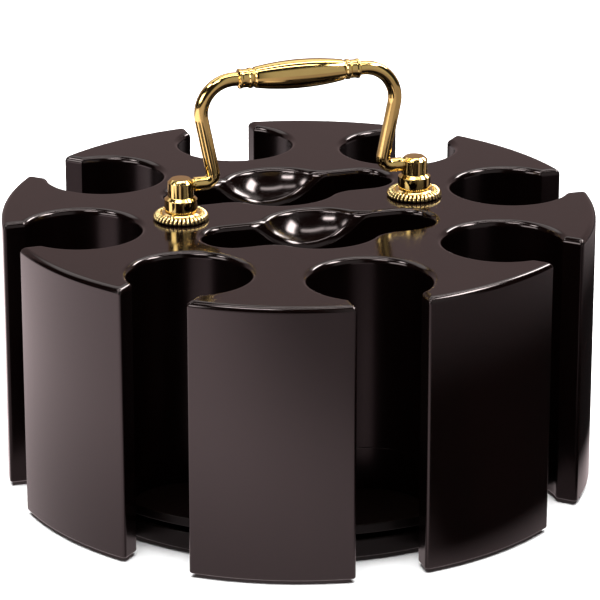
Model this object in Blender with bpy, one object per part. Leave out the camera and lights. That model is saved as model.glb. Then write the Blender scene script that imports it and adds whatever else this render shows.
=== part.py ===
"""Poker chip carousel: a lobed, lacquered rack that spins on a turntable bearing.

The origin is on the table under the spin axis. +Z is up, and +X runs along the carrying
handle, through both of its posts. Eight open-fronted chip slots stand around the rim, every
45 degrees from +X, and two card slots with round thumb scoops lie either side of the handle.
"""

import math

import bmesh
import bpy
from mathutils import Matrix, Vector

MM = 0.001
GAP = 0.3 * MM              # clearance between pieces that meet
OVERSHOOT = 2.0 * MM        # how far a cutter runs past the face that it opens

# Rack
SLOT_COUNT = 8
SLOT_PITCH = 2.0 * math.pi / SLOT_COUNT
RACK_RADIUS = 108.0 * MM
SPIN_CLEARANCE = 1.5 * MM   # rack's underside above the table
RACK_HEIGHT = 100.6 * MM
SEAM_HEIGHT = 30.5 * MM     # glue line between the two rack blocks
EDGE_ROUNDING = 2.25 * MM
TOP = SPIN_CLEARANCE + RACK_HEIGHT

# Chip slots, for 39 mm chips
SLOT_CENTRE_RADIUS = 81.7 * MM
SLOT_RADIUS = 21.5 * MM
MOUTH_HALF_WIDTH = 12.7 * MM

# Card slots and their thumb scoops
CARD_SLOT_OFFSET = 24.9 * MM
CARD_SLOT_HALF_LENGTH = 43.1 * MM
CARD_SLOT_HALF_WIDTH = 10.8 * MM
SCOOP_RADIUS = 25.4 * MM    # a ball of this radius,
SCOOP_RISE = 12.7 * MM      # centred this far above the top face

# Floor board and base disc, inside the round recess under the rack
RECESS_RADIUS = 91.7 * MM
FLOOR_RADIUS = 91.35 * MM
FLOOR_TOP = 14.5 * MM
FLOOR_UNDERSIDE = 11.0 * MM
BASE_RADIUS = 90.6 * MM
BASE_TOP = 8.7 * MM
POCKET_RADIUS = 54.0 * MM
POCKET_FLOOR = 4.4 * MM
FOOT_COUNT = 6
FOOT_RADIUS = 7.0 * MM
FOOT_CIRCLE_RADIUS = 76.0 * MM
FOOT_HEIGHT = 1.5 * MM

# Turntable bearing
PLATE_HALF_SIDE = 36.0 * MM
PLATE_CORNER_RADIUS = 6.0 * MM
PLATE_THICKNESS = 1.0 * MM
PLATE_BORE_RADIUS = 19.0 * MM
RACE_RADIUS = 28.0 * MM
RACE_HALF_WIDTH = 3.2 * MM
LIP_THICKNESS = 0.9 * MM
LIP_HEIGHT = 1.4 * MM
BALL_COUNT = 12
BALL_RADIUS = 1.65 * MM
CAGE_HALF_WIDTH = 2.8 * MM
CAGE_THICKNESS = 1.0 * MM
PLATE_SCREW_RADIUS = 43.8 * MM      # screw circle of both plates
ACCESS_HOLE_RADIUS = 5.0 * MM       # in the base disc, to reach the upper plate's screws

# Screws
SHANK_RADIUS = 1.5 * MM
HEAD_RADIUS = 2.9 * MM
HEAD_HEIGHT = 1.4 * MM
FLOOR_SCREW_CIRCLE_RADIUS = 76.0 * MM
WOOD_SCREW_REACH = 14.0 * MM

# Carrying handle, with heights above the rack's top face
POST_OFFSET = 44.45 * MM
ROSETTE_RADIUS = 10.3 * MM
ROSETTE_BORE_RADIUS = 3.2 * MM
COLLAR_RADIUS = 5.9 * MM
COLLAR_FOOT = 3.2 * MM
COLLAR_TOP = 8.5 * MM
POST_HEAD_RADIUS = 4.55 * MM
POST_HEAD_TOP = 15.1 * MM
POST_CHAMFER = 1.1 * MM
PIVOT_HEIGHT = 12.5 * MM
PIN_RADIUS = 2.0 * MM
PIN_REACH = 1.0 * MM                # past the post's axis
STUD_RADIUS = 2.5 * MM
STUD_TOP = 7.4 * MM
STUD_DEPTH = 25.0 * MM
ROD_RADIUS = 2.55 * MM
BAIL_FOOT_X = 31.6 * MM             # where the foot bends up into the leg
BAIL_FOOT_BEND = 3.2 * MM
BAIL_LEAN = math.radians(11.6)      # outward lean of the legs
BAIL_CORNER_X = 24.6 * MM           # centre of the top corner's bend
BAIL_CORNER_BEND = 12.0 * MM
GRIP_HEIGHT = 50.4 * MM             # axis of the grip
GRIP_HALF_LENGTH = 16.6 * MM
GRIP_MID_RADIUS = 5.3 * MM
GRIP_END_RADIUS = 3.85 * MM
RING_RADIUS = 3.6 * MM
RING_OUTER_X = 22.2 * MM
RING_INNER_X = 18.2 * MM
GROOVE_RADIUS = 2.8 * MM

# Sides of round pieces
VERY_FINE = 60
FINE = 40
MEDIUM = 24
COARSE = 10

LACQUERED_WOOD = ((0.024, 0.014, 0.012, 1.0), 0.22, 0.0)
BARE_BOARD = ((0.030, 0.018, 0.014, 1.0), 0.45, 0.0)
BRASS = ((0.83, 0.62, 0.27, 1.0), 0.12, 1.0)
STEEL = ((0.55, 0.56, 0.57, 1.0), 0.32, 1.0)
RUBBER = ((0.02, 0.02, 0.02, 1.0), 0.85, 0.0)


def clear_scene():
    for item in list(bpy.data.objects):
        bpy.data.objects.remove(item, do_unlink=True)


def make_material(name, finish):
    colour, roughness, metallic = finish
    material = bpy.data.materials.new(name)
    material.use_nodes = True
    shader = material.node_tree.nodes["Principled BSDF"]
    shader.inputs["Base Color"].default_value = colour
    shader.inputs["Roughness"].default_value = roughness
    shader.inputs["Metallic"].default_value = metallic
    return material


def make_joint(name, height):
    """An empty on a joint's axis, which the moving pieces are parented to."""
    joint = bpy.data.objects.new(name, None)
    joint.location = (0.0, 0.0, height)
    bpy.context.scene.collection.objects.link(joint)
    return joint


def make_object(name, shape, finish=None, joint=None):
    """Turn a bmesh into a named object. Shapes are given in world coordinates."""
    bmesh.ops.recalc_face_normals(shape, faces=shape.faces)
    mesh = bpy.data.meshes.new(name)
    shape.to_mesh(mesh)
    shape.free()
    item = bpy.data.objects.new(name, mesh)
    bpy.context.scene.collection.objects.link(item)
    if finish:
        mesh.materials.append(make_material(name, finish))
        mesh.shade_smooth()
        mesh.set_sharp_from_angle(angle=math.radians(30.0))
    if joint:
        mesh.transform(Matrix.Translation(-joint.location))
        item.parent = joint
    return item


def combine(target, cutter, operation="DIFFERENCE"):
    """Cut one object out of another, or join it on, and hide the tool."""
    cutter.hide_render = True
    cutter.display_type = "WIRE"
    modifier = target.modifiers.new(cutter.name, "BOOLEAN")
    modifier.operation = operation
    modifier.solver = "EXACT"
    modifier.object = cutter


# Shapes

def loft(rings):
    """Join rings of equally many points into a closed body with flat ends."""
    shape = bmesh.new()
    rows = [[shape.verts.new(point) for point in ring] for ring in rings]
    for low, high in zip(rows, rows[1:]):
        for i in range(len(low)):
            j = (i + 1) % len(low)
            shape.faces.new((low[i], low[j], high[j], high[i]))
    shape.faces.new(list(reversed(rows[0])))
    shape.faces.new(rows[-1])
    return shape


def prism(outline, low, high):
    """A straight-sided body over a flat outline."""
    return loft([[(x, y, z) for x, y in outline] for z in (low, high)])


def circle(radius, steps, centre=(0.0, 0.0)):
    angles = [2.0 * math.pi * i / steps for i in range(steps)]
    return [(centre[0] + radius * math.cos(a), centre[1] + radius * math.sin(a)) for a in angles]


def turned(profile, steps, centre=(0.0, 0.0)):
    """Turn a profile of (radius, height) points about a vertical axis.

    A profile that starts and ends on the axis makes a solid, with a single face on a flat end.
    Any other is closed on itself, and makes a ring.
    """
    shape = bmesh.new()
    solid = profile[0][0] == 0.0
    flat_start = solid and profile[0][1] == profile[1][1]
    flat_end = solid and profile[-1][1] == profile[-2][1]
    rows = []
    for radius, height in profile[1 if flat_start else 0:-1 if flat_end else None]:
        if radius == 0.0:
            rows.append([shape.verts.new((centre[0], centre[1], height))] * steps)
        else:
            rows.append([shape.verts.new((x, y, height)) for x, y in circle(radius, steps, centre)])
    if flat_start:
        shape.faces.new(rows[0])
    if flat_end:
        shape.faces.new(rows[-1])
    if not solid:
        rows.append(rows[0])
    for low, high in zip(rows, rows[1:]):
        for i in range(steps):
            j = (i + 1) % steps
            corners = dict.fromkeys((low[i], low[j], high[j], high[i]))
            shape.faces.new(list(corners))
    return shape


def rounded_square(half_side, corner_radius, steps, turn=0.0):
    """Outline of a square with round corners, turned about its centre."""
    reach = half_side - corner_radius
    points = []
    for quarter in range(4):
        start = quarter * math.pi / 2.0
        corner = Vector((reach, reach))
        corner.rotate(Matrix.Rotation(start, 2))
        for i in range(steps + 1):
            angle = start + math.pi / 2.0 * i / steps
            point = corner + corner_radius * Vector((math.cos(angle), math.sin(angle)))
            point.rotate(Matrix.Rotation(turn, 2))
            points.append(tuple(point))
    return points


def on_circle(radius, angle):
    return (radius * math.cos(angle), radius * math.sin(angle))


def around(count, radius, first=0.0):
    """Places spread evenly on a circle about the spin axis."""
    return [on_circle(radius, first + 2.0 * math.pi * i / count) for i in range(count)]


def drill(name, places, radius, low, high):
    """One cutter with a straight hole at each place."""
    shape = bmesh.new()
    for centre in places:
        hole = prism(circle(radius, COARSE, centre), low, high)
        mesh = bpy.data.meshes.new(name)
        hole.to_mesh(mesh)
        hole.free()
        shape.from_mesh(mesh)
        bpy.data.meshes.remove(mesh)
    return make_object(name, shape)


# Rack

def rack_outline(inset):
    """Plan of the rack, drawn in from its walls by an inset."""
    rim = RACK_RADIUS - inset
    mouth = MOUTH_HALF_WIDTH + inset
    slot = SLOT_RADIUS + inset
    slot_steps = 16
    lobe_steps = 5
    mouth_angle = math.asin(mouth / slot)
    rim_angle = math.asin(mouth / rim)
    points = []
    for k in range(SLOT_COUNT):
        axis = k * SLOT_PITCH
        local = [(math.sqrt(rim**2 - mouth**2), -mouth)]
        for i in range(slot_steps + 1):
            angle = -mouth_angle - (2.0 * math.pi - 2.0 * mouth_angle) * i / slot_steps
            local.append((SLOT_CENTRE_RADIUS + slot * math.cos(angle), slot * math.sin(angle)))
        across, along = math.sin(axis), math.cos(axis)
        points += [(u * along - v * across, u * across + v * along) for u, v in local]
        for i in range(lobe_steps):
            angle = axis + rim_angle + (SLOT_PITCH - 2.0 * rim_angle) * i / lobe_steps
            points.append(on_circle(rim, angle))
    return points


def rounded_steps(steps):
    """(inset, depth) of points down a quarter-round edge, from its wall to the flat face."""
    angles = [math.pi / 2.0 * i / steps for i in range(steps + 1)]
    return [(EDGE_ROUNDING * (1.0 - math.cos(a)), EDGE_ROUNDING * (1.0 - math.sin(a))) for a in angles]


def card_slot_outline(side, grow):
    """Plan of a card slot with round ends, on one side of the handle."""
    steps = 8
    reach = CARD_SLOT_HALF_LENGTH - CARD_SLOT_HALF_WIDTH
    radius = CARD_SLOT_HALF_WIDTH + grow
    points = []
    for end, first in ((1.0, -math.pi / 2.0), (-1.0, math.pi / 2.0)):
        for i in range(steps + 1):
            angle = first + math.pi * i / steps
            x = end * reach + radius * math.cos(angle)
            points.append((x, side * CARD_SLOT_OFFSET + radius * math.sin(angle)))
    return points


def card_slot_cutter(side):
    rings = [[(x, y, FLOOR_UNDERSIDE) for x, y in card_slot_outline(side, 0.0)]]
    for inset, depth in rounded_steps(2):
        rings.append([(x, y, TOP - depth) for x, y in card_slot_outline(side, inset)])
    rings.append([(x, y, TOP + OVERSHOOT) for x, y in card_slot_outline(side, EDGE_ROUNDING)])
    name = "card_slot_cutter_near" if side < 0.0 else "card_slot_cutter_far"
    return make_object(name, loft(rings))


def scoop_cutter(side):
    """A shallow ball-shaped scoop with a softened rim."""
    steps = 7
    centre = TOP + SCOOP_RISE
    rim_angle = math.acos(SCOOP_RISE / SCOOP_RADIUS)
    softened = EDGE_ROUNDING * math.tan(rim_angle / 2.0)
    last_angle = rim_angle - softened / SCOOP_RADIUS
    profile = []
    for i in range(steps + 1):
        angle = last_angle * i / steps
        profile.append((SCOOP_RADIUS * math.sin(angle), centre - SCOOP_RADIUS * math.cos(angle)))
    rim_radius = SCOOP_RADIUS * math.sin(rim_angle) + softened
    profile += [(rim_radius, TOP), (rim_radius, TOP + OVERSHOOT), (0.0, TOP + OVERSHOOT)]
    name = "scoop_cutter_near" if side < 0.0 else "scoop_cutter_far"
    return make_object(name, turned(profile, FINE, (0.0, side * CARD_SLOT_OFFSET)))


def build_rack_blocks(joint):
    """Two glued blocks with one plan. The lower one takes the floor board in its recess."""
    outline = rack_outline(0.0)
    plain = prism(outline, SPIN_CLEARANCE, SEAM_HEIGHT)
    lower = make_object("rack_lower_block", plain, LACQUERED_WOOD, joint)
    rings = [[(x, y, SEAM_HEIGHT + GAP) for x, y in outline]]
    for inset, depth in rounded_steps(2):
        rings.append([(x, y, TOP - depth) for x, y in rack_outline(inset)])
    upper = make_object("rack_upper_block", loft(rings), LACQUERED_WOOD, joint)

    recess = prism(circle(RECESS_RADIUS, VERY_FINE), 0.0, FLOOR_TOP + GAP)
    combine(lower, make_object("recess_cutter", recess))
    for side in (-1.0, 1.0):
        slot = card_slot_cutter(side)
        combine(lower, slot)
        combine(upper, slot)
        combine(upper, scoop_cutter(side))
    posts = [(-POST_OFFSET, 0.0), (POST_OFFSET, 0.0)]
    combine(upper, drill("stud_drill", posts, STUD_RADIUS + GAP, TOP - STUD_DEPTH - GAP, TOP + OVERSHOOT))
    screws = around(4, PLATE_SCREW_RADIUS) + around(4, FLOOR_SCREW_CIRCLE_RADIUS, SLOT_PITCH / 2.0)
    depth = FLOOR_UNDERSIDE + WOOD_SCREW_REACH + GAP
    combine(lower, drill("rack_screw_drill", screws, SHANK_RADIUS + GAP, FLOOR_UNDERSIDE, depth))


def build_floor_board(joint):
    plain = prism(circle(FLOOR_RADIUS, VERY_FINE), FLOOR_UNDERSIDE, FLOOR_TOP)
    board = make_object("floor_board", plain, BARE_BOARD, joint)
    low = FLOOR_UNDERSIDE - OVERSHOOT
    high = FLOOR_TOP + OVERSHOOT
    plate_screws = around(4, PLATE_SCREW_RADIUS)
    combine(board, drill("floor_plate_drill", plate_screws, SHANK_RADIUS + GAP, low, high))
    for k, centre in enumerate(around(4, FLOOR_SCREW_CIRCLE_RADIUS, SLOT_PITCH / 2.0), start=1):
        bore = SHANK_RADIUS + GAP
        mouth = HEAD_RADIUS + GAP
        sink = [(0.0, low), (mouth, low), (mouth, FLOOR_UNDERSIDE + GAP),
                (bore, FLOOR_UNDERSIDE + HEAD_HEIGHT + GAP), (bore, high), (0.0, high)]
        combine(board, make_object(f"countersink_{k}", turned(sink, COARSE, centre)))
        head = FLOOR_UNDERSIDE + HEAD_HEIGHT
        tip = FLOOR_UNDERSIDE + WOOD_SCREW_REACH
        screw = [(0.0, FLOOR_UNDERSIDE), (HEAD_RADIUS, FLOOR_UNDERSIDE), (SHANK_RADIUS, head),
                 (SHANK_RADIUS, tip - SHANK_RADIUS), (0.0, tip)]
        make_object(f"floor_screw_{k}", turned(screw, COARSE, centre), STEEL, joint)


# Base and turntable bearing

def build_base():
    bottom = FOOT_HEIGHT + GAP
    disc = make_object("base_disc", prism(circle(BASE_RADIUS, VERY_FINE), bottom, BASE_TOP), BARE_BOARD)
    pocket = prism(circle(POCKET_RADIUS, FINE), POCKET_FLOOR, BASE_TOP + OVERSHOOT)
    combine(disc, make_object("bearing_pocket_cutter", pocket))
    access = prism(circle(ACCESS_HOLE_RADIUS, MEDIUM, (0.0, -PLATE_SCREW_RADIUS)), 0.0, BASE_TOP)
    combine(disc, make_object("access_hole_cutter", access))
    screws = around(4, PLATE_SCREW_RADIUS, math.pi / 4.0)
    combine(disc, drill("base_screw_drill", screws, SHANK_RADIUS + GAP, 0.0, BASE_TOP))
    for k, centre in enumerate(around(FOOT_COUNT, FOOT_CIRCLE_RADIUS), start=1):
        make_object(f"foot_pad_{k}", prism(circle(FOOT_RADIUS, MEDIUM, centre), 0.0, FOOT_HEIGHT), RUBBER)


def race_lip(name, radius, low, high):
    """Upstanding ring, pressed from a bearing plate, that guides the balls."""
    profile = [(radius, low), (radius + LIP_THICKNESS, low), (radius + LIP_THICKNESS, high), (radius, high)]
    return make_object(name, turned(profile, MEDIUM))


def build_bearing_plate(name, low, lip_low, lip_high, turn, joint=None):
    outline = rounded_square(PLATE_HALF_SIDE, PLATE_CORNER_RADIUS, 4, turn)
    high = low + PLATE_THICKNESS
    plate = make_object(name, prism(outline, low, high), STEEL, joint)
    bore = prism(circle(PLATE_BORE_RADIUS, MEDIUM), low - OVERSHOOT, high + OVERSHOOT)
    combine(plate, make_object(name + "_bore_cutter", bore))
    screws = around(4, PLATE_SCREW_RADIUS, math.pi / 4.0 + turn)
    holes = drill(name + "_drill", screws, SHANK_RADIUS + GAP, low - OVERSHOOT, high + OVERSHOOT)
    combine(plate, holes)
    inner = RACE_RADIUS - RACE_HALF_WIDTH - LIP_THICKNESS
    outer = RACE_RADIUS + RACE_HALF_WIDTH
    combine(plate, race_lip(name + "_inner_lip", inner, lip_low, lip_high), "UNION")
    combine(plate, race_lip(name + "_outer_lip", outer, lip_low, lip_high), "UNION")


def build_bearing(rack_joint, cage_joint):
    lower = POCKET_FLOOR + GAP
    upper = FLOOR_UNDERSIDE - GAP - PLATE_THICKNESS
    lip_root = PLATE_THICKNESS / 2.0
    build_bearing_plate("bearing_lower_plate", lower, lower + lip_root,
                        lower + PLATE_THICKNESS + LIP_HEIGHT, 0.0)
    build_bearing_plate("bearing_upper_plate", upper, upper - LIP_HEIGHT,
                        upper + lip_root, math.pi / 4.0, rack_joint)

    middle = (lower + PLATE_THICKNESS + upper) / 2.0
    inner = RACE_RADIUS - CAGE_HALF_WIDTH
    outer = RACE_RADIUS + CAGE_HALF_WIDTH
    low = middle - CAGE_THICKNESS / 2.0
    high = middle + CAGE_THICKNESS / 2.0
    profile = [(inner, low), (outer, low), (outer, high), (inner, high)]
    cage = make_object("ball_cage", turned(profile, FINE), STEEL, cage_joint)
    places = around(BALL_COUNT, RACE_RADIUS)
    combine(cage, drill("ball_pocket_drill", places, BALL_RADIUS + GAP, low - OVERSHOOT, high + OVERSHOOT))
    for k, (x, y) in enumerate(places, start=1):
        ball = bmesh.new()
        bmesh.ops.create_icosphere(ball, subdivisions=2, radius=BALL_RADIUS,
                                   matrix=Matrix.Translation((x, y, middle)))
        make_object(f"bearing_ball_{k}", ball, STEEL, cage_joint)


def pan_head_screw(name, centre, seat, tip, joint=None):
    """Screw with its head against a plate. A tip above the seat points the screw up."""
    way = math.copysign(1.0, tip - seat)
    back = seat - way * HEAD_HEIGHT
    brow = seat - way * HEAD_HEIGHT * 0.6
    point = tip - way * SHANK_RADIUS
    profile = [(0.0, back), (HEAD_RADIUS * 0.7, back), (HEAD_RADIUS, brow), (HEAD_RADIUS, seat),
               (SHANK_RADIUS, seat), (SHANK_RADIUS, point), (0.0, tip)]
    make_object(name, turned(profile, COARSE, centre), STEEL, joint)


def build_bearing_screws(rack_joint):
    lower_seat = POCKET_FLOOR + GAP + PLATE_THICKNESS + GAP
    for k, centre in enumerate(around(4, PLATE_SCREW_RADIUS, math.pi / 4.0), start=1):
        pan_head_screw(f"base_screw_{k}", centre, lower_seat, FOOT_HEIGHT + 2.0 * GAP)
    upper_seat = FLOOR_UNDERSIDE - PLATE_THICKNESS - 2.0 * GAP
    for k, centre in enumerate(around(4, PLATE_SCREW_RADIUS), start=1):
        tip = FLOOR_UNDERSIDE + WOOD_SCREW_REACH
        pan_head_screw(f"turntable_screw_{k}", centre, upper_seat, tip, rack_joint)


# Carrying handle

def build_rosette(name, x, joint):
    """Domed washer with a raised bead around its rim."""
    land = COLLAR_RADIUS + 0.4 * MM
    low = GAP
    high = COLLAR_FOOT - GAP
    heights = [(ROSETTE_BORE_RADIUS, low), (ROSETTE_RADIUS - 0.5 * MM, low),
               (ROSETTE_RADIUS, low + 0.5 * MM), (ROSETTE_RADIUS - 0.3 * MM, low + 1.2 * MM),
               (ROSETTE_RADIUS - 1.3 * MM, low + 1.8 * MM),
               (ROSETTE_RADIUS - 2.4 * MM, low + 1.9 * MM), (land, high), (ROSETTE_BORE_RADIUS, high)]
    profile = [(radius, TOP + height) for radius, height in heights]
    make_object(name, turned(profile, MEDIUM, (x, 0.0)), BRASS, joint)


def build_post(side, x, joint):
    """Turned post with a collar, and a blind cross hole facing the bail."""
    heights = [(0.0, COLLAR_FOOT), (COLLAR_RADIUS, COLLAR_FOOT), (COLLAR_RADIUS, COLLAR_TOP - 0.5 * MM),
               (COLLAR_RADIUS - 0.5 * MM, COLLAR_TOP), (POST_HEAD_RADIUS, COLLAR_TOP),
               (POST_HEAD_RADIUS, POST_HEAD_TOP - POST_CHAMFER),
               (POST_HEAD_RADIUS - POST_CHAMFER, POST_HEAD_TOP), (0.0, POST_HEAD_TOP)]
    profile = [(radius, TOP + height) for radius, height in heights]
    post = make_object(f"{side}_post", turned(profile, MEDIUM, (x, 0.0)), BRASS, joint)
    well = prism(circle(STUD_RADIUS + GAP, COARSE, (x, 0.0)), TOP, TOP + STUD_TOP + GAP)
    combine(post, make_object(f"{side}_stud_well_cutter", well))

    outward = math.copysign(1.0, x)
    radius = PIN_RADIUS + GAP
    height = TOP + PIVOT_HEIGHT
    steps = 16
    angles = [2.0 * math.pi * (i + 0.5) / steps for i in range(steps)]
    rings = []
    for end in (x - outward * (POST_HEAD_RADIUS + OVERSHOOT), x + outward * (PIN_REACH + GAP)):
        rings.append([(end, radius * math.cos(a), height + radius * math.sin(a)) for a in angles])
    combine(post, make_object(f"{side}_pin_hole_cutter", loft(rings)))


def build_hanger_bolt(side, x, joint):
    """Double-ended stud: machine thread in the post, wood thread in the rack."""
    low = TOP - STUD_DEPTH
    profile = [(0.0, low), (STUD_RADIUS * 0.5, low + 1.5 * MM), (STUD_RADIUS, low + 5.0 * MM),
               (STUD_RADIUS, TOP + STUD_TOP), (0.0, TOP + STUD_TOP)]
    make_object(f"{side}_hanger_bolt", turned(profile, COARSE, (x, 0.0)), STEEL, joint)


def bail_side_path():
    """Centre line of the bail in the XZ plane, from the pin's tip to the top of the corner.

    Gives (x, height above the top face, radius) points on the +X side.
    """
    shoulder = POST_OFFSET - POST_HEAD_RADIUS - GAP
    tip = POST_OFFSET + PIN_REACH
    path = [(tip, PIVOT_HEIGHT, PIN_RADIUS - 0.4 * MM), (tip - 0.4 * MM, PIVOT_HEIGHT, PIN_RADIUS),
            (shoulder, PIVOT_HEIGHT, PIN_RADIUS), (shoulder, PIVOT_HEIGHT, ROD_RADIUS - 0.3 * MM),
            (shoulder - 0.3 * MM, PIVOT_HEIGHT, ROD_RADIUS)]

    turn = math.pi / 2.0 - BAIL_LEAN            # the foot turns back on itself by more than a square bend
    bend = math.pi - turn
    setback = BAIL_FOOT_BEND * math.tan(bend / 2.0)
    start_x = BAIL_FOOT_X + setback
    steps = 6
    for i in range(steps + 1):
        angle = bend * i / steps
        x = start_x - BAIL_FOOT_BEND * math.sin(angle)
        height = PIVOT_HEIGHT + BAIL_FOOT_BEND * (1.0 - math.cos(angle))
        path.append((x, height, ROD_RADIUS))

    corner_height = GRIP_HEIGHT - BAIL_CORNER_BEND
    steps = 10
    for i in range(steps + 1):
        angle = -BAIL_LEAN + (math.pi / 2.0 + BAIL_LEAN) * i / steps
        x = BAIL_CORNER_X + BAIL_CORNER_BEND * math.cos(angle)
        path.append((x, corner_height + BAIL_CORNER_BEND * math.sin(angle), ROD_RADIUS))
    return path


def grip_profile():
    """(x, radius) points from the +X ring to the middle of the grip."""
    profile = [(RING_OUTER_X + 0.4 * MM, ROD_RADIUS), (RING_OUTER_X, RING_RADIUS - 0.3 * MM),
               (RING_OUTER_X - 0.5 * MM, RING_RADIUS), (RING_INNER_X + 0.5 * MM, RING_RADIUS),
               (RING_INNER_X, RING_RADIUS - 0.4 * MM), (RING_INNER_X - 0.8 * MM, GROOVE_RADIUS)]
    profile.append((GRIP_HALF_LENGTH + 0.2 * MM, GRIP_END_RADIUS - 0.4 * MM))
    steps = 6
    for i in range(steps + 1):
        share = 1.0 - i / steps
        radius = GRIP_MID_RADIUS - (GRIP_MID_RADIUS - GRIP_END_RADIUS) * share**2
        profile.append((GRIP_HALF_LENGTH * share, radius))
    return profile


def neighbour(path, k, step):
    """The nearest point one way along a path that lies elsewhere, or the path's end."""
    here = path[k][:2]
    while 0 <= k + step < len(path):
        k += step
        if path[k][:2] != here:
            break
    return path[k]


def build_bail(joint):
    """One casting: pins, bent rod, end rings and barrel grip, swept along its centre line."""
    half = bail_side_path() + [(x, GRIP_HEIGHT, radius) for x, radius in grip_profile()]
    mirrored = [(-x, height, radius) for x, height, radius in reversed(half[:-1])]
    path = half + mirrored
    steps = 12
    rings = []
    for k, (x, height, radius) in enumerate(path):
        before = neighbour(path, k, -1)
        after = neighbour(path, k, 1)
        along = Vector((after[0] - before[0], 0.0, after[1] - before[1])).normalized()
        across = along.cross(Vector((0.0, 1.0, 0.0)))
        ring = []
        for i in range(steps):
            angle = 2.0 * math.pi * i / steps
            offset = radius * (math.cos(angle) * across + math.sin(angle) * Vector((0.0, 1.0, 0.0)))
            ring.append((x + offset.x, offset.y, TOP + height + offset.z))
        rings.append(ring)
    make_object("bail", loft(rings), BRASS, joint)


def build_handle(rack_joint, bail_joint):
    for side, x in (("left", -POST_OFFSET), ("right", POST_OFFSET)):
        build_rosette(f"{side}_rosette", x, rack_joint)
        build_post(side, x, rack_joint)
        build_hanger_bolt(side, x, rack_joint)
    build_bail(bail_joint)


def main():
    clear_scene()
    rack_joint = make_joint("rack_spin", BASE_TOP)
    cage_joint = make_joint("cage_spin", BASE_TOP)
    bail_joint = make_joint("bail_swing", TOP + PIVOT_HEIGHT)
    bpy.context.view_layer.update()
    build_base()
    build_bearing(rack_joint, cage_joint)
    build_bearing_screws(rack_joint)
    build_floor_board(rack_joint)
    build_rack_blocks(rack_joint)
    build_handle(rack_joint, bail_joint)


main()
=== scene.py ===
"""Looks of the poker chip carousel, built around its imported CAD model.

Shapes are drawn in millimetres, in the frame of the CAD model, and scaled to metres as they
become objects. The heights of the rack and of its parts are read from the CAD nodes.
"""

import math

import bmesh
import bpy
import numpy as np
from mathutils import Matrix, Vector
from mathutils.geometry import delaunay_2d_cdt


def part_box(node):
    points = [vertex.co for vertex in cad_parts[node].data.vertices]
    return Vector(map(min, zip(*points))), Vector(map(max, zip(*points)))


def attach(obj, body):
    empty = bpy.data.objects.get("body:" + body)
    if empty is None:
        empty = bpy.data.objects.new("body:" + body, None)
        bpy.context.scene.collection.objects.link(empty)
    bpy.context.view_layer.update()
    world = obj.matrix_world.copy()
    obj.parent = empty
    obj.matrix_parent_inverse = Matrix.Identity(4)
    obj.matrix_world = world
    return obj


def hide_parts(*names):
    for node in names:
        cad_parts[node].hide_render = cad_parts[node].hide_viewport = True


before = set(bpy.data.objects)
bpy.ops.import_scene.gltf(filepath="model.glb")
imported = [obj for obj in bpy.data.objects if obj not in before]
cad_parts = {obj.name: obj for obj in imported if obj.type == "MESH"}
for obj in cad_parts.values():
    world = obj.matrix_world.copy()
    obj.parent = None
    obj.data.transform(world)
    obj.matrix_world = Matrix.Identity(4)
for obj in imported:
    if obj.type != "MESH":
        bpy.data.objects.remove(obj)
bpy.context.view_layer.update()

MM = 0.001
TAU = 2.0 * math.pi


def node_box(name):
    """Lowest and highest corner of a CAD node, in millimetres."""
    low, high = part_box(name)
    return [c / MM for c in low], [c / MM for c in high]


GAP = 0.3                   # clearance between neighbouring pieces
OVERSHOOT = 2.0             # how far a cutter stands out of the face it opens

# Rack
UPPER_BOX = node_box("rack_upper_block")
LOWER_BOX = node_box("rack_lower_block")
TOP = UPPER_BOX[1][2]
RACK_UNDERSIDE = LOWER_BOX[0][2]
SEAM_HEIGHT = LOWER_BOX[1][2]
RACK_RADIUS = 108.0
SLOT_COUNT = 8
SLOT_PITCH = TAU / SLOT_COUNT
SLOT_CENTRE_RADIUS = 81.7
SLOT_RADIUS = 21.5
MOUTH_HALF_WIDTH = 12.7
TOP_ROUNDING = 2.25
BOTTOM_ROUNDING = 0.7
CORNER_ROUNDING = 1.1       # upright edges of the lobes
CORNER_ROUNDING_TOP = 0.6
SEAM_DEPTH = 0.14
SEAM_HALF_WIDTH = 0.22

CARD_SLOT_OFFSET = 24.9
CARD_SLOT_HALF_LENGTH = 43.1
CARD_SLOT_HALF_WIDTH = 10.8
SCOOP_RADIUS = 25.4
SCOOP_RISE = 12.7
SCOOP_TOP_ROUNDING = 1.3
SCOOP_FOOT_ROUNDING = 2.0
SCOOP_FLARE = 4.5           # rounding where the scoop meets the card slot at the top face
SCOOP_FLARE_DEPTH = 5.0

# Floor board and base
FLOOR_LOW = node_box("floor_board")[0][2]
FLOOR_HIGH = node_box("floor_board")[1][2]
FLOOR_RADIUS = 91.35
RECESS_RADIUS = 91.7        # recess in the rack's underside, for the floor board
RECESS_CEILING = FLOOR_HIGH + GAP
BASE_LOW = node_box("base_disc")[0][2]
BASE_HIGH = node_box("base_disc")[1][2]
BASE_RADIUS = 90.6
POCKET_RADIUS = 54.0        # pocket in the base disc, for the bearing
POCKET_FLOOR = 4.4
ACCESS_HOLE_RADIUS = 5.0
PLATE_SCREW_CIRCLE = 43.8   # radius of the circles of screws through the bearing's plates
OUTER_CIRCLE = 76.0         # radius of the circles of floor screws and of pads
SCREW_HOLE_RADIUS = 1.8
SCREW_HEAD_RADIUS = 3.2

# Posts and bail, with heights from the rack's top face
POST_X = 44.45
STUD_BORE_RADIUS = 2.8
STUD_TOP = 7.4
STUD_DEPTH = 25.0
PIVOT_HEIGHT = 12.5
PIN_RADIUS = 2.0
PIN_REACH = 1.0             # how far each pin of the bail goes past its post's axis
SHOULDER_REACH = 4.85       # from a post's axis to the shoulder of the bail's pin
ROD_RADIUS = 2.55
GRIP_HEIGHT = 50.4
BEADS = 38                  # round each rosette


# Shapes

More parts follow.
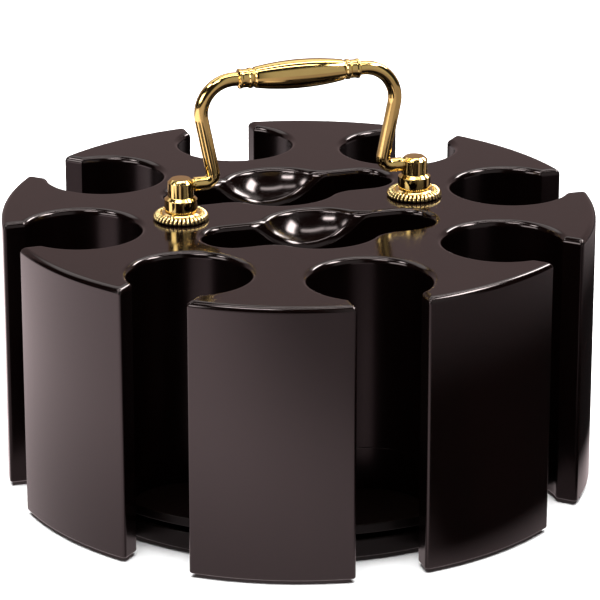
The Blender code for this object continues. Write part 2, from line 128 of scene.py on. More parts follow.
def circle(radius, steps, centre=(0.0, 0.0), first=0.0):
    """Points evenly round a circle, from a first angle on."""
    angles = first + TAU * np.arange(steps) / steps
    return np.column_stack((centre[0] + radius * np.cos(angles), centre[1] + radius * np.sin(angles)))


def arc(centre, radius, start, end, steps):
    """Points along an arc, both ends included."""
    angles = np.linspace(start, end, steps + 1)
    return np.column_stack((centre[0] + radius * np.cos(angles), centre[1] + radius * np.sin(angles)))


def quarter_round(radius, steps):
    """(inset, depth) from an upright wall, up over a rounded edge, to the flat face."""
    angles = np.linspace(0.0, math.pi / 2.0, steps + 1)
    return [(radius * (1.0 - math.cos(a)), radius * (1.0 - math.sin(a))) for a in angles]


def soften(profile, radius, steps=4):
    """Round the corners of a profile of (radius, height) points, apart from its two ends."""
    points = [Vector(p) for p in profile]
    result = [points[0]]
    for before, corner, after in zip(points, points[1:], points[2:]):
        back = (before - corner).normalized()
        on = (after - corner).normalized()
        half = back.angle(on, math.pi) / 2.0
        if half > math.radians(85.0):
            result.append(corner)
            continue
        reach = radius / math.tan(half)
        reach = min(reach, 0.45 * (before - corner).length, 0.45 * (after - corner).length)
        start = corner + reach * back
        end = corner + reach * on
        for i in range(steps + 1):
            t = i / steps
            result.append((1.0 - t) ** 2 * start + 2.0 * t * (1.0 - t) * corner + t**2 * end)
    result.append(points[-1])
    return [tuple(p) for p in result]


def add_ring(shape, points):
    """New vertices at some points, in their order."""
    return [shape.verts.new(p) for p in points]


def skin(shape, low, high):
    """Quads between two rings of equally many points."""
    for i in range(len(low)):
        j = (i + 1) % len(low)
        corners = list(dict.fromkeys((low[i], low[j], high[j], high[i])))
        if len(corners) > 2:
            shape.faces.new(corners)


def turned(profile, steps, centre=(0.0, 0.0)):
    """Turn a profile of (radius, height) points about an upright axis into a closed body.

    A profile that starts and ends on the axis makes a solid. Any other is closed on itself.
    """
    shape = bmesh.new()
    rows = []
    for radius, height in profile:
        if radius < 1e-9:
            rows.append([shape.verts.new((centre[0], centre[1], height))] * steps)
        else:
            rows.append(add_ring(shape, [(x, y, height) for x, y in circle(radius, steps, centre)]))
    if profile[0][0] > 1e-9:
        rows.append(rows[0])
    for low, high in zip(rows, rows[1:]):
        skin(shape, low, high)
    return shape


def shade(mesh, sharp_angle=35.0):
    """Smooth shading, apart from edges that bend by more than an angle in degrees."""
    mesh.shade_smooth()
    mesh.set_sharp_from_angle(angle=math.radians(sharp_angle))


def make_piece(name, shape, material, sharp_angle=35.0):
    """Turn a bmesh in millimetres into a smooth-shaded object in metres."""
    bmesh.ops.recalc_face_normals(shape, faces=shape.faces)
    bmesh.ops.scale(shape, vec=(MM, MM, MM), verts=shape.verts)
    mesh = bpy.data.meshes.new(name)
    shape.to_mesh(mesh)
    shape.free()
    if material:
        mesh.materials.append(material)
    shade(mesh, sharp_angle)
    piece = bpy.data.objects.new(name, mesh)
    bpy.context.scene.collection.objects.link(piece)
    return piece


def hole_cutter(radius, low, high, centre=(0.0, 0.0), steps=32):
    """An upright cylinder to cut with."""
    profile = [(0.0, low), (radius, low), (radius, high), (0.0, high)]
    return make_piece("hole_cutter", turned(profile, steps, centre), None)


def cut(piece, cutters):
    """Cut shapes out of a piece, and keep the result as its mesh."""
    for cutter in cutters:
        modifier = piece.modifiers.new(cutter.name, "BOOLEAN")
        modifier.operation = "DIFFERENCE"
        modifier.solver = "EXACT"
        modifier.object = cutter
    graph = bpy.context.evaluated_depsgraph_get()
    mesh = bpy.data.meshes.new_from_object(piece.evaluated_get(graph))
    piece.modifiers.clear()
    old = piece.data
    piece.data = mesh
    mesh.name = piece.name
    bpy.data.meshes.remove(old)
    for cutter in cutters:
        spare = cutter.data
        bpy.data.objects.remove(cutter)
        bpy.data.meshes.remove(spare)
    shade(mesh)


def weigh_normals(piece):
    """Keep flat faces flat-looking next to small roundings."""
    modifier = piece.modifiers.new("weighted_normals", "WEIGHTED_NORMAL")
    modifier.mode = "FACE_AREA_WITH_ANGLE"
    modifier.weight = 60
    modifier.keep_sharp = True


# Materials

def new_material(name):
    """A material with its node tree, its Principled shader and a node for positions."""
    material = bpy.data.materials.new(name)
    material.use_nodes = True
    tree = material.node_tree
    shader = tree.nodes["Principled BSDF"]
    places = tree.nodes.new("ShaderNodeTexCoord")
    return material, tree, shader, places.outputs["Object"]


def noise(tree, places, scale, detail=2.0, stretch=None, distortion=0.0):
    """Noise over the piece. Stretch scales the places along each axis first."""
    if stretch:
        mapping = tree.nodes.new("ShaderNodeMapping")
        mapping.inputs["Scale"].default_value = stretch
        tree.links.new(places, mapping.inputs["Vector"])
        places = mapping.outputs["Vector"]
    node = tree.nodes.new("ShaderNodeTexNoise")
    node.inputs["Scale"].default_value = scale
    node.inputs["Detail"].default_value = detail
    node.inputs["Distortion"].default_value = distortion
    tree.links.new(places, node.inputs["Vector"])
    return node.outputs["Fac"]


def ramp(tree, value, stops):
    """A colour for each value, between (value, colour) stops."""
    node = tree.nodes.new("ShaderNodeValToRGB")
    elements = node.color_ramp.elements
    while len(elements) < len(stops):
        elements.new(0.5)
    for element, (place, colour) in zip(elements, stops):
        element.position = place
        element.color = (*colour, 1.0)
    tree.links.new(value, node.inputs["Fac"])
    return node.outputs["Color"]


def spread(tree, value, low, high, start=0.3, end=0.7, kind="LINEAR"):
    """Map a value between start and end to a range."""
    node = tree.nodes.new("ShaderNodeMapRange")
    node.interpolation_type = kind
    node.inputs["From Min"].default_value = start
    node.inputs["From Max"].default_value = end
    node.inputs["To Min"].default_value = low
    node.inputs["To Max"].default_value = high
    tree.links.new(value, node.inputs["Value"])
    return node.outputs["Result"]


def smooth_step(tree, value, start, end, low, high):
    """Go from low to high as a value goes from start to end, easing in and out."""
    return spread(tree, value, low, high, start, end, "SMOOTHSTEP")


def combine(tree, operation, *values):
    """A math operation on numbers and node outputs."""
    node = tree.nodes.new("ShaderNodeMath")
    node.operation = operation
    for socket, value in zip(node.inputs, values):
        if isinstance(value, float):
            socket.default_value = value
        else:
            tree.links.new(value, socket)
    return node.outputs["Value"]


def distance_from_origin(tree, x, y):
    """How far out a point given by two node outputs lies."""
    squares = combine(tree, "ADD", combine(tree, "MULTIPLY", x, x), combine(tree, "MULTIPLY", y, y))
    return combine(tree, "SQRT", squares)


def bump(tree, shader, height, strength, distance):
    """Fine relief on a shader's surface, from a height between 0 and 1."""
    node = tree.nodes.new("ShaderNodeBump")
    node.inputs["Strength"].default_value = strength
    node.inputs["Distance"].default_value = distance
    tree.links.new(height, node.inputs["Height"])
    tree.links.new(node.outputs["Normal"], shader.inputs["Normal"])


def make_lacquer():
    """Espresso stain over close-grained board, under a glossy lacquer."""
    material, tree, shader, places = new_material("espresso_lacquer")
    grain = noise(tree, places, 60.0, 6.0, (1.0, 1.0, 0.12), 0.4)
    colour = ramp(tree, grain, [(0.3, (0.0013, 0.0004, 0.0003)), (0.7, (0.0021, 0.0007, 0.0006))])
    tree.links.new(colour, shader.inputs["Base Color"])
    haze = noise(tree, places, 35.0, 3.0)
    tree.links.new(spread(tree, haze, 0.10, 0.125), shader.inputs["Roughness"])
    shader.inputs["IOR"].default_value = 1.5
    shader.inputs["Specular Tint"].default_value = (1.0, 0.90, 0.91, 1.0)
    ripple = noise(tree, places, 260.0, 2.0)
    bump(tree, shader, ripple, 0.05, 0.0002)
    return material


def make_satin():
    """The same stain inside the chip slots, a little darker, rougher and less reflective than the
    lacquer outside.
    """
    material, tree, shader, places = new_material("espresso_satin")
    grain = noise(tree, places, 60.0, 6.0, (1.0, 1.0, 0.12), 0.4)
    colour = ramp(tree, grain, [(0.3, (0.0010, 0.0003, 0.0003)), (0.7, (0.0018, 0.0006, 0.0005))])
    tree.links.new(colour, shader.inputs["Base Color"])
    haze = noise(tree, places, 35.0, 3.0)
    tree.links.new(spread(tree, haze, 0.22, 0.27), shader.inputs["Roughness"])
    shader.inputs["Specular IOR Level"].default_value = 0.2
    shader.inputs["Specular Tint"].default_value = (1.0, 0.84, 0.86, 1.0)
    return material


def make_board():
    """Dark stained fibreboard with a satin coat."""
    material, tree, shader, places = new_material("dark_board")
    fibre = noise(tree, places, 420.0, 5.0)
    colour = ramp(tree, fibre, [(0.3, (0.0010, 0.0005, 0.0004)), (0.7, (0.0020, 0.0010, 0.0008))])
    tree.links.new(colour, shader.inputs["Base Color"])
    tree.links.new(spread(tree, fibre, 0.32, 0.42), shader.inputs["Roughness"])
    shader.inputs["Specular IOR Level"].default_value = 0.1
    bump(tree, shader, fibre, 0.15, 0.0001)
    return material


def make_brass():
    """Polished yellow brass."""
    material, tree, shader, places = new_material("polished_brass")
    cast = noise(tree, places, 90.0, 3.0)
    colour = ramp(tree, cast, [(0.3, (0.80, 0.58, 0.205)), (0.7, (0.85, 0.63, 0.24))])
    tree.links.new(colour, shader.inputs["Base Color"])
    shader.inputs["Metallic"].default_value = 1.0
    polish = noise(tree, places, 700.0, 4.0, (1.0, 1.0, 0.25))
    tree.links.new(spread(tree, polish, 0.07, 0.13), shader.inputs["Roughness"])
    bump(tree, shader, polish, 0.03, 0.0001)
    return material


def make_beaded_brass():
    """Brass with painted shade darkening the grooves between the beads of a rosette."""
    material, tree, shader, places = new_material("beaded_brass")
    shader.inputs["Metallic"].default_value = 1.0
    split = tree.nodes.new("ShaderNodeSeparateXYZ")
    tree.links.new(places, split.inputs["Vector"])
    y = split.outputs["Y"]
    x = combine(tree, "SUBTRACT", combine(tree, "ABSOLUTE", split.outputs["X"]), POST_X * MM)
    turn = combine(tree, "MULTIPLY", combine(tree, "ARCTAN2", y, x), float(BEADS))
    # Painted shade: out on the rosette's slope, the grooves between the beads turn dark brown, as shade
    # would fall in them.
    groove = smooth_step(tree, combine(tree, "COSINE", turn), -0.1, 0.8, 0.0, 1.0)
    reach = distance_from_origin(tree, x, y)
    depth = combine(tree, "MULTIPLY", groove, smooth_step(tree, reach, 0.0070, 0.0076, 0.0, 1.0))
    colour = ramp(tree, depth, [(0.0, (0.86, 0.68, 0.32)), (1.0, (0.07, 0.045, 0.012))])
    tree.links.new(colour, shader.inputs["Base Color"])
    grit = noise(tree, places, 900.0, 3.0)
    tree.links.new(spread(tree, grit, 0.10, 0.18), shader.inputs["Roughness"])
    return material


def make_steel():
    """Zinc-plated steel with a faint brushed grain."""
    material, tree, shader, places = new_material("zinc_steel")
    brushed = noise(tree, places, 900.0, 4.0, (1.0, 0.06, 1.0))
    colour = ramp(tree, brushed, [(0.3, (0.50, 0.51, 0.52)), (0.7, (0.62, 0.62, 0.61))])
    tree.links.new(colour, shader.inputs["Base Color"])
    shader.inputs["Metallic"].default_value = 1.0
    tree.links.new(spread(tree, brushed, 0.24, 0.38), shader.inputs["Roughness"])
    return material


def make_rubber():
    """Matt black rubber."""
    material, tree, shader, places = new_material("foot_rubber")
    grit = noise(tree, places, 1500.0, 4.0)
    colour = ramp(tree, grit, [(0.3, (0.012, 0.012, 0.012)), (0.7, (0.022, 0.022, 0.022))])
    tree.links.new(colour, shader.inputs["Base Color"])
    tree.links.new(spread(tree, grit, 0.7, 0.9), shader.inputs["Roughness"])
    bump(tree, shader, grit, 0.3, 0.0001)
    return material


# Rack

def slot_side(inset, corner):
    """One side of a chip slot, from the rim to the round part, in the slot's own axes.

    The slot opens along +x. Gives the points down the -y side and the angle where they meet the
    round part.
    """
    rim = RACK_RADIUS - inset
    mouth = MOUTH_HALF_WIDTH + inset
    slot = SLOT_RADIUS + inset
    inner = mouth + corner
    outer_x = math.sqrt((rim - corner) ** 2 - inner**2)
    throat_x = SLOT_CENTRE_RADIUS + math.sqrt((slot + corner) ** 2 - inner**2)
    rim_corner = arc((outer_x, -inner), corner, math.atan2(-inner, outer_x), math.pi / 2.0, 6)
    share = np.linspace(0.04, 0.96, 7)
    side = np.column_stack((outer_x + (throat_x - outer_x) * share, np.full_like(share, -mouth)))
    toward_slot = math.atan2(inner, SLOT_CENTRE_RADIUS - throat_x)
    throat = arc((throat_x, -inner), corner, math.pi / 2.0, toward_slot, 5)
    return np.vstack((rim_corner, side, throat)), math.pi - toward_slot


def rack_outline(inset, corner, groove=0.0):
    """Plan of the rack drawn in from its walls, with a groove in the round parts of its slots."""
    slot_steps = 72
    lobe_steps = 24
    side, throat_angle = slot_side(inset, corner)
    angles = np.linspace(-throat_angle, throat_angle - TAU, slot_steps + 1)[1:-1]
    along = np.sin(math.pi * np.arange(1, slot_steps) / slot_steps)
    radius = SLOT_RADIUS + inset + groove * np.minimum(1.0, 4.0 * along)
    round_part = np.column_stack((SLOT_CENTRE_RADIUS + radius * np.cos(angles), radius * np.sin(angles)))
    other_side = side[::-1] * (1.0, -1.0)
    local = np.vstack((side, round_part, other_side))
    rim = RACK_RADIUS - inset
    rim_angle = -math.atan2(side[0][1], side[0][0])
    parts = []
    for k in range(SLOT_COUNT):
        turn = k * SLOT_PITCH
        spin = np.array([[math.cos(turn), math.sin(turn)], [-math.sin(turn), math.cos(turn)]])
        parts.append(local @ spin)
        end = turn + SLOT_PITCH - rim_angle
        parts.append(arc((0.0, 0.0), rim, turn + rim_angle, end, lobe_steps)[1:-1])
    return np.vstack(parts)


def rack_rings():
    """(plan, height) of each ring up the rack's outer wall, from its underside to its top face."""
    rings = []
    for inset, depth in reversed(quarter_round(BOTTOM_ROUNDING, 4)):
        rings.append((rack_outline(inset, CORNER_ROUNDING), RACK_UNDERSIDE + depth))
    wall = rack_outline(0.0, CORNER_ROUNDING)
    rings.append((wall, RACK_UNDERSIDE + BOTTOM_ROUNDING + 0.4))
    # The glue seam, a shallow groove: shares of its half width, and of its depth
    for offset, depth in ((-1.0, 0.0), (-0.45, 0.35), (0.0, 1.0), (0.45, 0.35), (1.0, 0.0)):
        plan = rack_outline(0.0, CORNER_ROUNDING, SEAM_DEPTH * depth)
        rings.append((plan, SEAM_HEIGHT + SEAM_HALF_WIDTH * offset))
    rings.append((wall, TOP - TOP_ROUNDING - 0.5))
    for inset, depth in quarter_round(TOP_ROUNDING, 14):
        share = inset / TOP_ROUNDING
        corner = CORNER_ROUNDING + (CORNER_ROUNDING_TOP - CORNER_ROUNDING) * share
        rings.append((rack_outline(inset, corner), TOP - depth))
    rings.append((rack_outline(TOP_ROUNDING + 0.3, CORNER_ROUNDING_TOP), TOP))
    return rings


def rounded_max(a, b, radius):
    """The larger of two distances, with the edge where they meet rounded."""
    flat = np.minimum(np.maximum(a, b), -radius)
    return flat + np.hypot(np.maximum(a + radius, 0.0), np.maximum(b + radius, 0.0))


def cavity_distance(x, y, height):
    """How far a point near a card slot is out of the wood: below zero is inside the wood.

    The point is measured from the middle of the card slot, and its height from the top face.
    """
    reach = CARD_SLOT_HALF_LENGTH - CARD_SLOT_HALF_WIDTH
    slot = np.hypot(np.maximum(np.abs(x) - reach, 0.0), y) - CARD_SLOT_HALF_WIDTH
    ball = np.sqrt(x**2 + y**2 + (height - SCOOP_RISE) ** 2) - SCOOP_RADIUS
    share = np.clip((slot - ball) / 5.0 + 0.3, 0.0, 1.0)
    share = share**2 * (3.0 - 2.0 * share)
    rounding = TOP_ROUNDING + (SCOOP_TOP_ROUNDING - TOP_ROUNDING) * share
    climb = np.clip(1.0 + height / SCOOP_FLARE_DEPTH, 0.0, 1.0)
    flare = SCOOP_FOOT_ROUNDING + (SCOOP_FLARE - SCOOP_FOOT_ROUNDING) * climb**2
    walls = rounded_max(-slot, -ball, flare)
    return rounded_max(walls, height, rounding)


def card_slot_plan():
    """Points round a card slot, each with its outward direction, close together at the scoop."""
    reach = CARD_SLOT_HALF_LENGTH - CARD_SLOT_HALF_WIDTH
    dense = SCOOP_RADIUS + 1.6
    side = np.concatenate((np.linspace(-dense, dense, 73), [dense + 1.5, reach - 0.4]))
    side = np.concatenate(([-(reach - 0.4), -(dense + 1.5)], side))
    points, normals = [], []
    for turn in (0.0, math.pi):
        spin = Matrix.Rotation(turn, 2)
        for x in side:
            points.append(spin @ Vector((x, -CARD_SLOT_HALF_WIDTH)))
            normals.append(spin @ Vector((0.0, -1.0)))
        for angle in np.linspace(-math.pi / 2.0, math.pi / 2.0, 33):
            out = Vector((math.cos(angle), math.sin(angle)))
            points.append(spin @ (Vector((reach, 0.0)) + CARD_SLOT_HALF_WIDTH * out))
            normals.append(spin @ out)
    return np.array(points), np.array(normals)


def cavity_profiles(points, normals):
    """The edge of the wood in the upright plane through each point of the card slot's plan.

    Rays from inside the wood find it. Gives (distance out from the slot's wall, height) rows.
    """
    hub_out, hub_height = 13.6, -26.0
    angles = np.linspace(0.0, math.pi / 2.0, 420)
    way_out = -np.sin(angles)[None, :]
    way_up = np.cos(angles)[None, :]
    near = np.zeros((len(points), len(angles)))
    far = np.full_like(near, 45.0)
    for _ in range(46):
        middle = (near + far) / 2.0
        out = hub_out + middle * way_out
        height = hub_height + middle * way_up
        x = points[:, :1] + out * normals[:, :1]
        y = points[:, 1:] + out * normals[:, 1:]
        inside = cavity_distance(x, y, height) < 0.0
        near = np.where(inside, middle, near)
        far = np.where(inside, far, middle)
    return hub_out + near * way_out, hub_height + near * way_up


def even_out(out, height, count):
    """Resample a profile, with points close together where it bends."""
    step = np.hypot(np.diff(out), np.diff(height))
    heading = np.unwrap(np.arctan2(np.diff(height), np.diff(out)))
    bend = np.abs(np.gradient(heading))
    bend = np.convolve(bend, np.ones(9) / 9.0, mode="same")
    weight = step + 7.0 * bend
    place = np.concatenate(([0.0], np.cumsum(weight)))
    wanted = np.linspace(0.0, place[-1], count)
    return np.interp(wanted, place, out), np.interp(wanted, place, height)


def cavity_rings(side):
    """Rings down a card slot, from the top face, round its scoop and down its wall."""
    points, normals = card_slot_plan()
    outs, heights = cavity_profiles(points, normals)
    rows = 46
    rings = np.zeros((rows + 3, len(points), 3))
    for i in range(len(points)):
        sunk = np.argmax(heights[i] < -0.003)
        edge = max(sunk - 1, 0)
        out, height = even_out(outs[i][edge:], np.minimum(heights[i][edge:], 0.0), rows)
        height[0] = 0.0
        out = np.concatenate(([out[0] + 0.25], out, [0.0, 0.0]))
        height = np.concatenate(([0.0], height, [-30.0, RACK_UNDERSIDE - TOP]))
        rings[:, i, 0] = points[i, 0] + out * normals[i, 0]
        rings[:, i, 1] = side * CARD_SLOT_OFFSET + points[i, 1] + out * normals[i, 1]
        rings[:, i, 2] = TOP + height
    return rings


def inside(points, loop):
    """Which points lie inside a closed loop, by counting crossings."""
    x, y = points[:, :1], points[:, 1:]
    ax, ay = loop[:, 0][None, :], loop[:, 1][None, :]
    bx, by = np.roll(ax, -1), np.roll(ay, -1)
    spans = (ay > y) != (by > y)
    with np.errstate(divide="ignore", invalid="ignore"):
        cross = ax + (y - ay) * (bx - ax) / (by - ay)
    return (np.sum(spans & (x < cross), axis=1) % 2) == 1


def fill_flat(shape, outer, holes):
    """Triangles over a flat face between an outer ring of vertices and the holes in it."""
    loops = [outer] + holes
    vertices = [v for loop in loops for v in loop]
    edges = []
    start = 0
    for loop in loops:
        edges += [(start + i, start + (i + 1) % len(loop)) for i in range(len(loop))]
        start += len(loop)
    flat = [v.co.to_2d() for v in vertices]
    result = delaunay_2d_cdt(flat, edges, [], 0, 1e-7)
    coords, faces, origins = result[0], result[2], result[3]
    centres = np.array([np.mean([coords[i] for i in face], axis=0) for face in faces])
    keep = inside(centres, np.array([v.co.to_2d() for v in outer]))
    for hole in holes:
        keep &= ~inside(centres, np.array([v.co.to_2d() for v in hole]))
    for face, kept in zip(faces, keep):
        if kept:
            shape.faces.new([vertices[origins[i][0]] for i in face])


def coat_slot_walls(rack, coat):
    """Give the upright walls of the chip slots a material of their own."""
    mesh = rack.data
    mesh.materials.append(coat)
    for face in mesh.polygons:
        if abs(face.normal.z) > 0.2 or face.center.z > (TOP - TOP_ROUNDING) * MM:
            continue
        x, y = face.center.x / MM, face.center.y / MM
        bearing = math.atan2(y, x)
        turn = bearing - round(bearing / SLOT_PITCH) * SLOT_PITCH
        along, aside = math.hypot(x, y) * math.cos(turn), math.hypot(x, y) * math.sin(turn)
        in_round = math.hypot(along - SLOT_CENTRE_RADIUS, aside) < SLOT_RADIUS + 0.6
        in_mouth = along > SLOT_CENTRE_RADIUS and abs(aside) < MOUTH_HALF_WIDTH + 0.3
        if in_round or in_mouth:
            face.material_index = 1


def build_rack(material, slot_coat):
    """Both glued blocks as one lacquered body."""
    shape = bmesh.new()
    walls = []
    for plan, height in rack_rings():
        walls.append(add_ring(shape, [(x, y, height) for x, y in plan]))
    for low, high in zip(walls, walls[1:]):
        skin(shape, low, high)
    mouths, ends = [], []
    for side in (-1.0, 1.0):
        rings = [add_ring(shape, ring) for ring in cavity_rings(side)]
        for low, high in zip(rings, rings[1:]):
            skin(shape, low, high)
        mouths.append(rings[0])
        ends.append(rings[-1])
    fill_flat(shape, walls[-1], mouths)
    fill_flat(shape, walls[0], ends)
    rack = make_piece("rack_lacquered", shape, material)

    cutters = [hole_cutter(RECESS_RADIUS, -5.0, RECESS_CEILING, steps=360)]
    for x in (-POST_X, POST_X):
        cutters.append(hole_cutter(STUD_BORE_RADIUS, TOP - STUD_DEPTH - GAP, TOP + OVERSHOOT, (x, 0.0)))
    cut(rack, cutters)
    coat_slot_walls(rack, slot_coat)
    weigh_normals(rack)
    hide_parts("rack_upper_block", "rack_lower_block")
    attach(rack, "rack")


# Floor board, base and feet

def build_floor_board(material):
    """Thin round board with plain holes for the bearing's screws and countersunk ones for its own."""
    low, high = FLOOR_LOW, FLOOR_HIGH
    profile = soften([(0.0, low), (FLOOR_RADIUS, low), (FLOOR_RADIUS, high), (0.0, high)], 0.5)
    board = make_piece("floor_board_disc", turned(profile, 256), material)
    below, above = low - OVERSHOOT, high + OVERSHOOT
    cutters = [hole_cutter(SCREW_HOLE_RADIUS, below, above, place)
               for place in circle(PLATE_SCREW_CIRCLE, 4)]
    sink = [(0.0, below), (SCREW_HEAD_RADIUS, below), (SCREW_HEAD_RADIUS, low + GAP),
            (SCREW_HOLE_RADIUS, low + 1.7), (SCREW_HOLE_RADIUS, above), (0.0, above)]
    for place in circle(OUTER_CIRCLE, 4, first=SLOT_PITCH / 2.0):
        cutters.append(make_piece("countersink", turned(sink, 32, place), None))
    cut(board, cutters)
    weigh_normals(board)
    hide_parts("floor_board")
    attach(board, "rack")


def build_base(board_material, rubber):
    """Base disc with a pocket for the bearing and a hole to drive its screws through, on its pads."""
    profile = [(0.0, BASE_LOW), (BASE_RADIUS, BASE_LOW), (BASE_RADIUS, BASE_HIGH),
               (POCKET_RADIUS, BASE_HIGH), (POCKET_RADIUS, POCKET_FLOOR), (0.0, POCKET_FLOOR)]
    base = make_piece("base_board", turned(soften(profile, 0.8), 256), board_material)
    cutters = [hole_cutter(ACCESS_HOLE_RADIUS, 0.0, BASE_HIGH, (0.0, -PLATE_SCREW_CIRCLE))]
    for place in circle(PLATE_SCREW_CIRCLE, 4, first=math.pi / 4.0):
        cutters.append(hole_cutter(SCREW_HOLE_RADIUS, 0.0, BASE_HIGH, place))
    cut(base, cutters)
    weigh_normals(base)
    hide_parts("base_disc")
    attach(base, "base")

    for k, place in enumerate(circle(OUTER_CIRCLE, 6), start=1):
        top = node_box(f"foot_pad_{k}")[1][2]
        profile = [(0.0, 0.25), (5.2, 0.25), (5.6, 0.0), (7.0, 0.0), (6.8, top), (0.0, top)]
        pad = make_piece(f"pad_{k}", turned(soften(profile, 0.35), 48, place), rubber)
        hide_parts(f"foot_pad_{k}")
        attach(pad, "base")


# Handle

def build_rosette(name, x, material):
    """Domed collar plate, with long beads running down its slope."""
    per_bead = 12
    bead_rise = 0.75
    bore = 3.2
    foot = 0.3
    crown = 7.2
    slope_width, slope_height = 2.3, 1.85
    top = 2.9
    steps = BEADS * per_bead
    turns = [TAU * i / steps for i in range(steps)]
    across_bead = [(i % per_bead - per_bead / 2.0) / (per_bead / 2.0) for i in range(steps)]
    ridge = [math.sqrt(max(1.0 - (1.15 * share) ** 2, 0.0)) for share in across_bead]
    rows = [[(bore, foot)] * steps, [(crown + slope_width + 0.1, foot)] * steps]
    for share in np.linspace(0.0, 1.0, 19):
        angle = math.pi / 2.0 * share
        fade = math.sqrt(max(1.0 - (2.0 * share - 1.0) ** 6, 0.0))
        out = Vector((math.cos(angle) / slope_width, math.sin(angle) / slope_height)).normalized()
        place = Vector((crown + slope_width * math.cos(angle), foot + slope_height * math.sin(angle)))
        rows.append([tuple(place + bead_rise * fade * height * out) for height in ridge])
    rows += [[(6.7, top - 0.2)] * steps, [(6.4, top)] * steps, [(bore, top)] * steps]
    shape = bmesh.new()
    rings = []
    for row in rows:
        rings.append(add_ring(shape, [(x + r * math.cos(t), r * math.sin(t), TOP + h)
                                      for t, (r, h) in zip(turns, row)]))
    rings.append(rings[0])
    for low, high in zip(rings, rings[1:]):
        skin(shape, low, high)
    rosette = make_piece(f"{name}_beaded", shape, material, 70.0)
    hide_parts(name)
    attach(rosette, "rack")


def build_post(side, x, material):
    """Collar and chamfered head, with a cross hole for the bail's pin and a well for the stud."""
    profile = [(0.0, 3.2), (5.95, 3.2), (5.95, 7.6), (4.75, 8.6), (4.75, 13.9), (3.5, 15.1), (0.0, 15.1)]
    profile = [(radius, TOP + height) for radius, height in soften(profile, 0.22)]
    post = make_piece(f"{side}_post_turned", turned(profile, 96, (x, 0.0)), material)
    inward = -math.copysign(1.0, x)
    shape = bmesh.new()
    rings = []
    for reach in (-(PIN_REACH + GAP), SHOULDER_REACH + 1.7):
        plane = x + inward * reach
        hole = circle(PIN_RADIUS + GAP, 48)
        rings.append(add_ring(shape, [(plane, y, TOP + PIVOT_HEIGHT + z) for y, z in hole]))
    skin(shape, *rings)
    for ring in rings:
        shape.faces.new(ring)
    pin_hole = make_piece("pin_hole_cutter", shape, None)
    well = hole_cutter(STUD_BORE_RADIUS, TOP, TOP + STUD_TOP + GAP, (x, 0.0))
    cut(post, [pin_hole, well])
    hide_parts(f"{side}_post")
    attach(post, "rack")


def bail_path():
    """(x, height above the top face, radius) along the +X half of the bail, from its pin's tip."""
    shoulder = POST_X - SHOULDER_REACH
    shoulder_rounding = 0.35
    tip = POST_X + PIN_REACH
    rod = ROD_RADIUS
    lean = math.radians(11.6)
    path = [(tip, PIVOT_HEIGHT, 0.0), (tip, PIVOT_HEIGHT, PIN_RADIUS - 0.5),
            (tip - 0.15, PIVOT_HEIGHT, PIN_RADIUS - 0.15), (tip - 0.5, PIVOT_HEIGHT, PIN_RADIUS),
            (shoulder + 0.02, PIVOT_HEIGHT, PIN_RADIUS)]
    for inset, depth in quarter_round(shoulder_rounding, 4):
        path.append((shoulder - inset, PIVOT_HEIGHT, rod - depth))
    foot_x, foot_bend = 31.6, 3.2
    bend = math.pi / 2.0 + lean
    start = foot_x + foot_bend * math.tan(bend / 2.0)
    path.append((start + 0.6, PIVOT_HEIGHT, rod))
    for angle in np.linspace(0.0, bend, 19):
        along = start - foot_bend * math.sin(angle)
        path.append((along, PIVOT_HEIGHT + foot_bend * (1.0 - math.cos(angle)), rod))
    corner_x, corner_bend = 24.6, 12.0
    corner_height = GRIP_HEIGHT - corner_bend
    for angle in np.linspace(-lean, math.pi / 2.0, 37):
        along = corner_x + corner_bend * math.cos(angle)
        path.append((along, corner_height + corner_bend * math.sin(angle), rod))
    return path


def grip_path():
    """(x, radius) from the rod to the middle of the grip: a spool with beaded edges, then a barrel."""
    barrel_half = 16.6
    barrel_radius, barrel_end_radius = 5.3, 3.85
    outline = [(23.1, ROD_RADIUS), (22.9, 3.1), (22.6, 3.65), (21.8, 3.65), (21.4, 3.4), (19.3, 3.4),
               (18.9, 3.75), (17.8, 3.75), (17.4, 3.35), (17.0, 3.4), (barrel_half, 3.8)]
    outline = soften(outline, 0.2, 3)
    for share in np.linspace(0.985, 0.0, 26):
        radius = barrel_radius - (barrel_radius - barrel_end_radius) * share**2
        outline.append((barrel_half * share, radius))
    return outline


def build_bail(material):
    """Round sections swept along the bail, whose path lies in one upright plane."""
    half = bail_path() + [(x, GRIP_HEIGHT, radius) for x, radius in grip_path()]
    path = half + [(-x, height, radius) for x, height, radius in reversed(half[:-1])]
    steps = 64
    centres = np.array([(x, height) for x, height, _ in path])
    radii = np.array([radius for _, _, radius in path])
    places = np.concatenate(([0.0], np.cumsum(np.hypot(*np.diff(centres, axis=0).T) + 1e-6)))
    shape = bmesh.new()
    rows = []
    for k, (x, height) in enumerate(centres):
        before, after = max(k - 1, 0), min(k + 1, len(centres) - 1)
        while before > 0 and places[k] - places[before] < 1e-3:
            before -= 1
        while after < len(centres) - 1 and places[after] - places[k] < 1e-3:
            after += 1
        along = centres[after] - centres[before]
        along = along / np.hypot(*along)
        across = np.array([-along[1], along[0]])
        if radii[k] == 0.0:
            rows.append([shape.verts.new((x, 0.0, TOP + height))] * steps)
            continue
        ring = []
        for angle in TAU * np.arange(steps) / steps:
            offset = radii[k] * math.cos(angle) * across
            ring.append((x + offset[0], radii[k] * math.sin(angle), TOP + height + offset[1]))
        rows.append(add_ring(shape, ring))
    for low, high in zip(rows, rows[1:]):
        skin(shape, low, high)
    bail = make_piece("bail_polished", shape, material, 50.0)
    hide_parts("bail")
    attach(bail, "handle")


# Stage

def aim(item, target):
    """Turn a light or camera toward a place."""
    way = Vector(target) - item.location
    item.rotation_euler = way.to_track_quat("-Z", "Y").to_euler()


